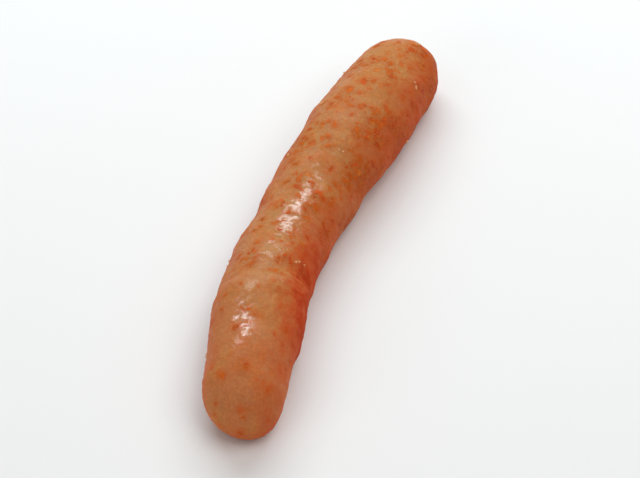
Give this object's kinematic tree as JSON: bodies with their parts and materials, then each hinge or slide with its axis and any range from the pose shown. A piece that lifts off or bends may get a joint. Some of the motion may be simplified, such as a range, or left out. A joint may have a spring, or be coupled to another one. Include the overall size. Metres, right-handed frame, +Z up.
{
  "type": "spicy cod roe",
  "caption": "Whole cured cod roe sac: a plump, slightly bent sausage of tiny eggs in a thin wet skin, freckled with chilli, lying on its flattened underside.",
  "frame": {"origin": "centre of the bounding box's underside, on the surface the sac rests on", "axes": "+Y along the sac towards its broad shoulder end, +X towards the side that the near end bends to, +Z up from the flattened underside"},
  "size_m": [0.0366, 0.167, 0.0243],
  "materials": {
    "roe_skin": "wet amber-pink skin over fine eggs, with orange chilli freckles"
  },
  "bodies": {
    "root": {"roe_sac": "roe_skin"}
  },
  "joints": []
}
